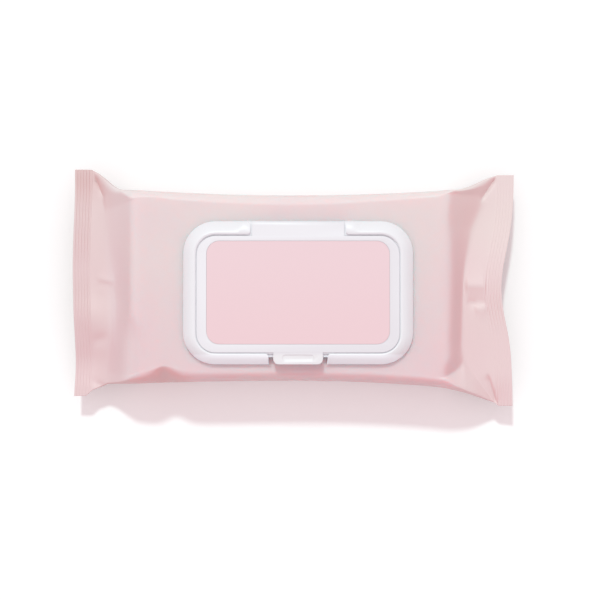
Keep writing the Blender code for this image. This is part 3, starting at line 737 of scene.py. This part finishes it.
FILM = film_material()
# Painted light: the frame's lower bar, which faces away from the key light, is made paler and a little
# bluer
FRAME_WHITE = plastic_material(
    "white_frame",
    (0.86, 0.86, 0.89),
    roughness=0.38,
    tints=(("Y", *LOWER_BAR, (1.13, 1.16, 1.17)),),
)
LID_WHITE = plastic_material(
    "white_lid",
    (0.855, 0.85, 0.885),
    roughness=0.38,
    tints=(
        # Painted shade, darker towards the right and towards the bottom, and painted light that lifts the
        # latch tab
        ("X", -0.045, 0.055, (0.95, 0.94, 0.945)),
        ("Y", 0.0, -0.028, (0.975, 0.97, 0.972)),
        ("Y", *LOWER_BAR, (1.03, 1.03, 1.01)),
    ),
)
PINK = plastic_material(
    "pink_inlay",
    (0.84, 0.64, 0.675),
    roughness=0.42,
    # Painted shade: darker towards the bottom
    tints=(("Y", 0.02, -0.028, (1.0, 0.965, 0.965)),),
)
GLUE = plastic_material("adhesive", (0.80, 0.62, 0.64), roughness=0.55)
LABEL = plastic_material("peel_label", (0.84, 0.82, 0.83), roughness=0.42)


def dress(node, made):
    nodes[node].data.materials.clear()
    nodes[node].data.materials.append(made)


points, order = film_grid()
points = add_ribs(add_details(points, order), order)
film = skin("film_skin", points)
film.data.materials.append(FILM)
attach(film, "pack")
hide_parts("film_pack")

# Lid

ROUND_OVER = 0.25
ROUND_OVER_SEGMENTS = 3
SHARP_ANGLE = 32
FLAT_ANGLE = 0.3
SAME_PLACE = 0.002


def softened(node, body, made):
    """A copy of a node of the part with smooth curves and rounded edges, in its place."""
    mesh = nodes[node].data.copy()
    mesh.name = node + "_soft"
    shape = bmesh.new()
    shape.from_mesh(mesh)
    bmesh.ops.remove_doubles(shape, verts=shape.verts, dist=SAME_PLACE * MM)
    bmesh.ops.dissolve_limit(
        shape, angle_limit=math.radians(FLAT_ANGLE), verts=shape.verts, edges=shape.edges
    )
    for edge in shape.edges:
        edge.smooth = True
    shape.to_mesh(mesh)
    shape.free()
    mesh.shade_smooth()
    mesh.materials.clear()
    mesh.materials.append(made)
    thing = add_object(node + "_soft", mesh)
    bevel = thing.modifiers.new("rounding", "BEVEL")
    bevel.width = ROUND_OVER * MM
    bevel.segments = ROUND_OVER_SEGMENTS
    bevel.limit_method = "ANGLE"
    bevel.angle_limit = math.radians(SHARP_ANGLE)
    bevel.harden_normals = True
    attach(thing, body)
    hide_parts(node)


def strip(name, sections):
    """A closed strip through sections, which are rings of (x, y, z) points."""
    shape = bmesh.new()
    rings = [[shape.verts.new(Vector(point) * MM) for point in section] for section in sections]
    for lower, upper in zip(rings, rings[1:]):
        for index in range(len(lower)):
            after = (index + 1) % len(lower)
            shape.faces.new((lower[index], lower[after], upper[after], upper[index]))
    shape.faces.new(rings[0][::-1])
    shape.faces.new(rings[-1])
    bmesh.ops.recalc_face_normals(shape, faces=shape.faces)
    mesh = bpy.data.meshes.new(name)
    shape.to_mesh(mesh)
    shape.free()
    return add_object(name, mesh)


def grow(outline, by):
    """A rounded rectangle (low X, high X, low Y, high Y, corner radius) with all its sides moved out."""
    low_x, high_x, low_y, high_y, radius = outline
    return low_x - by, high_x + by, low_y - by, high_y + by, radius + by


FRAME = (
    LID_CENTRE_X - FRAME_WIDTH / 2,
    LID_CENTRE_X + FRAME_WIDTH / 2,
    LID_CENTRE_Y - FRAME_DEPTH / 2,
    LID_CENTRE_Y + FRAME_DEPTH / 2,
    FRAME_RADIUS,
)
WINDOW = (
    FRAME[0] + SIDE_BAR,
    FRAME[1] - SIDE_BAR,
    FRAME[2] + BOTTOM_BAR,
    FRAME[3] - TOP_BAR,
    FRAME_RADIUS - (TOP_BAR + BOTTOM_BAR) / 2,
)
LID_EDGE = (
    WINDOW[0] + FIT_GAP,
    WINDOW[1] - FIT_GAP,
    WINDOW[2] + FIT_GAP,
    WINDOW[3] - HINGE_SIDE_GAP,
    WINDOW[4] - FIT_GAP,
)
HINGE_HALF = HINGE_TAB_WIDTH / 2
LATCH_HALF = LATCH_TAB_WIDTH / 2
NOTCH_HALF = LATCH_NOTCH_WIDTH / 2
OUTLINE_STEPS = 16

# Ledges of the frame: how far they go into it, how far they stay off the lid and its tabs, and their
# thickness
LEDGE_LAP = 0.1
LEDGE_PLAY = 0.06
TAB_PLAY = 0.1
HINGE_TAB_PLAY = 0.05
LINER_THICKNESS = 0.5
LEDGE_THICKNESS = 0.3

# Depths of the ledges below the top of the lid
LINER_DEPTH = 0.75
LINER_HINGE_DEPTH = 0.95
HINGE_LEDGE_DEPTH = 0.9
NOTCH_LEDGE_DEPTH = 1.9

# Y from which the liner goes down to its hinge depth, and how much further off the lid it stays there
LINER_STEP_Y = 20.5
LINER_STEP_SPAN = 3.0
HINGE_PLAY = 0.1

# The ledges beside the hinge and in the latch notch: how far the first one goes past its gap, and where
# each one starts and ends along Y
HINGE_LEDGE_LAP = 1.0
HINGE_LEDGE_Y = (LID_EDGE[3] + HINGE_PLAY, FRAME[3] - 0.25)
NOTCH_LEDGE_Y = (WINDOW[2] - 1.45, WINDOW[2] + 0.15)

# The foot under the frame's outer wall: its setback, its wall, how far it goes up into the frame and down
# to the film, and its distance from the latch notch
RIM_SETBACK = 0.1
RIM_WALL = 0.8
RIM_LAP = 0.02
RIM_DROP = 0.58
RIM_END = 0.4


def side_name(name, side):
    return f"{name}_{'right' if side > 0 else 'left'}"


def half_outline(outline, start, finish, side):
    """Half of a rounded rectangle. It starts and finishes at such distances from the middle line."""
    low_x, high_x, low_y, high_y, radius = outline
    middle = (low_x + high_x) / 2
    reach = (high_x - low_x) / 2
    outline_points = [(middle + side * start, high_y)]
    for corner_y, first in ((high_y - radius, 0.0), (low_y + radius, math.pi / 2)):
        for step in range(OUTLINE_STEPS + 1):
            turn = first + math.pi / 2 * step / OUTLINE_STEPS
            across = reach - radius + radius * math.sin(turn)
            outline_points.append((middle + side * across, corner_y + radius * math.cos(turn)))
    outline_points.append((middle + side * finish, low_y))
    return outline_points


def foot_rim(side):
    """The foot of the frame's outer wall, which closes the narrow gap down to the film."""
    outer = half_outline(grow(FRAME, -RIM_SETBACK), 0.0, NOTCH_HALF + RIM_END, side)
    inner = half_outline(grow(FRAME, -RIM_SETBACK - RIM_WALL), 0.0, NOTCH_HALF + RIM_END, side)
    high, low = BASE_BOTTOM + RIM_LAP, BASE_BOTTOM - RIM_DROP
    sections = []
    for outside, inside in zip(outer, inner):
        sections.append([(*outside, high), (*inside, high), (*inside, low), (*outside, low)])
    return strip(side_name("foot_rim", side), sections)


def gap_liner(side):
    """The ledge of the frame that closes the gap round the lid from below."""
    start, finish = HINGE_HALF + TAB_PLAY, LATCH_HALF + TAB_PLAY
    outer = half_outline(grow(WINDOW, LEDGE_LAP), start, finish, side)
    inner = half_outline(grow(LID_EDGE, LEDGE_PLAY), start, finish, side)
    sections = []
    for outside, (x, y) in zip(outer, inner):
        near_hinge = ease((outside[1] - LINER_STEP_Y) / LINER_STEP_SPAN)
        high = LID_TOP_Z - mix(LINER_DEPTH, LINER_HINGE_DEPTH, near_hinge)
        low = high - LINER_THICKNESS
        y += HINGE_PLAY * near_hinge
        sections.append([(*outside, high), (x, y, high), (x, y, low), (*outside, low)])
    return strip(side_name("gap_liner", side), sections)


def ledge_between(name, side, near, far, span, depth):
    """A straight ledge between two distances from the lid's middle and two places along Y."""
    near, far = LID_CENTRE_X + side * near, LID_CENTRE_X + side * far
    high = LID_TOP_Z - depth
    low = high - LEDGE_THICKNESS
    sections = [[(near, y, high), (far, y, high), (far, y, low), (near, y, low)] for y in span]
    return strip(side_name(name, side), sections)


def hinge_ledge(side):
    near, far = HINGE_HALF + HINGE_TAB_PLAY, HINGE_HALF + HINGE_TAB_GAP + HINGE_LEDGE_LAP
    return ledge_between("hinge_ledge", side, near, far, HINGE_LEDGE_Y, HINGE_LEDGE_DEPTH)


def notch_ledge(side):
    near, far = LATCH_HALF + TAB_PLAY, NOTCH_HALF + LEDGE_LAP
    return ledge_between("notch_ledge", side, near, far, NOTCH_LEDGE_Y, NOTCH_LEDGE_DEPTH)


softened("lid_base", "pack", FRAME_WHITE)
softened("lid", "lid", LID_WHITE)
for side in (-1, 1):
    for ledge in (gap_liner(side), foot_rim(side), hinge_ledge(side), notch_ledge(side)):
        ledge.data.materials.append(FRAME_WHITE)
        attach(ledge, "pack")
dress("lid_inlay", PINK)
dress("glue_ring", GLUE)
dress("peel_seal", LABEL)

# Floor, light and camera

WHITE = (1.0, 1.0, 1.0, 1.0)
FLOOR_REACH = 4000.0
FLOOR_DROP = 0.1
FLOOR_LIT = (0.42, 0.39, 0.39, 1.0)
FLOOR_SEEN = (0.97, 0.97, 0.97, 1.0)
FLOOR_GLOW = 0.09
SKY_DIRECTION = (0.0, -0.3, 0.5)
SKY_LOW = 0.68
SKY_HIGH = 0.84
SKY_COLOUR = (1.0, 0.86, 0.89, 1.0)
KEY_COLOUR = (0.74, 1.0, 0.95)
CAMERA_LENS = 115.5
CAMERA_SENSOR = 36.0
CAMERA_CLIP_END = 100000.0
CAMERA_PLACE = (3.1, -38.175, 939.5)
CAMERA_AIM = (3.1, -6.775, 40.0)


def straight_rays(made):
    """1 for what the camera sees, also in reflections and through clear things, and 0 for given light."""
    path = add_node(made, "ShaderNodeLightPath")
    seen = add_node(made, "ShaderNodeMath", operation="MAXIMUM")
    also = add_node(made, "ShaderNodeMath", operation="MAXIMUM")
    connect(made, path, "Is Camera Ray", seen, 0)
    connect(made, path, "Is Glossy Ray", seen, 1)
    connect(made, seen, 0, also, 0)
    connect(made, path, "Is Transmission Ray", also, 1)
    return also


def floor():
    """A floor that looks white to the camera and gives back less light than that."""
    mesh = bpy.data.meshes.new("floor")
    reach = FLOOR_REACH * MM
    corners = [(-reach, -reach, 0), (reach, -reach, 0), (reach, reach, 0), (-reach, reach, 0)]
    mesh.from_pydata(corners, [], [(0, 1, 2, 3)])
    thing = add_object("floor", mesh)
    thing.location.z = -FLOOR_DROP * MM
    made = material("floor", FLOOR_SEEN[:3], roughness=0.8)
    shader = shader_of(made)
    seen = add_node(made, "ShaderNodeMixRGB", Color1=FLOOR_LIT, Color2=FLOOR_SEEN)
    connect(made, straight_rays(made), 0, seen, "Fac")
    connect(made, seen, "Color", shader, "Base Color")
    shader.inputs["Emission Color"].default_value = WHITE
    shader.inputs["Emission Strength"].default_value = FLOOR_GLOW
    mesh.materials.append(made)


def sun(name, tilt, turn, strength, angle, colour):
    """A distant lamp. Tilt is from straight above towards +Y, and turn is from there round Z."""
    data = bpy.data.lights.new(name, "SUN")
    data.energy = strength
    data.color = colour
    data.angle = math.radians(angle)
    lamp = add_object(name, data)
    tilt, turn = math.radians(tilt), math.radians(turn)
    source = Vector((-math.sin(tilt) * math.sin(turn), math.sin(tilt) * math.cos(turn), math.cos(tilt)))
    lamp.rotation_mode = "QUATERNION"
    lamp.rotation_quaternion = (-source).to_track_quat("-Z", "Y")


def world():
    """An even studio sky, white to the camera and in reflections, which gives slightly pink light."""
    made = bpy.data.worlds.new("studio")
    made.use_nodes = True
    back = made.node_tree.nodes["Background"]
    place = add_node(made, "ShaderNodeTexCoord")
    towards = add_node(made, "ShaderNodeVectorMath", operation="DOT_PRODUCT")
    towards.inputs[1].default_value = Vector(SKY_DIRECTION).normalized()
    level = add_node(made, "ShaderNodeMapRange")
    level.inputs["From Min"].default_value = -1.0
    level.inputs["From Max"].default_value = 1.0
    level.inputs["To Min"].default_value = SKY_LOW
    level.inputs["To Max"].default_value = SKY_HIGH
    seen = straight_rays(made)
    strength = add_node(made, "ShaderNodeMix", B=1.0)
    plain = add_node(made, "ShaderNodeMixRGB", Color1=SKY_COLOUR, Color2=WHITE)
    connect(made, place, "Generated", towards, 0)
    connect(made, towards, "Value", level, "Value")
    connect(made, seen, 0, strength, "Factor")
    connect(made, level, "Result", strength, "A")
    connect(made, strength, "Result", back, "Strength")
    connect(made, seen, 0, plain, "Fac")
    connect(made, plain, "Color", back, "Color")
    bpy.context.scene.world = made


def camera():
    data = bpy.data.cameras.new("camera")
    data.lens = CAMERA_LENS
    data.sensor_width = CAMERA_SENSOR
    data.clip_end = CAMERA_CLIP_END * MM
    view = add_object("camera", data)
    place, aim = Vector(CAMERA_PLACE) * MM, Vector(CAMERA_AIM) * MM
    view.location = place
    view.rotation_mode = "QUATERNION"
    view.rotation_quaternion = (aim - place).to_track_quat("-Z", "Y")
    bpy.context.scene.camera = view


floor()
world()
sun("key", tilt=36, turn=10, strength=1.22, angle=5, colour=KEY_COLOUR)
camera()
bpy.context.scene.view_settings.view_transform = "Standard"

bpy.context.view_layer.update()
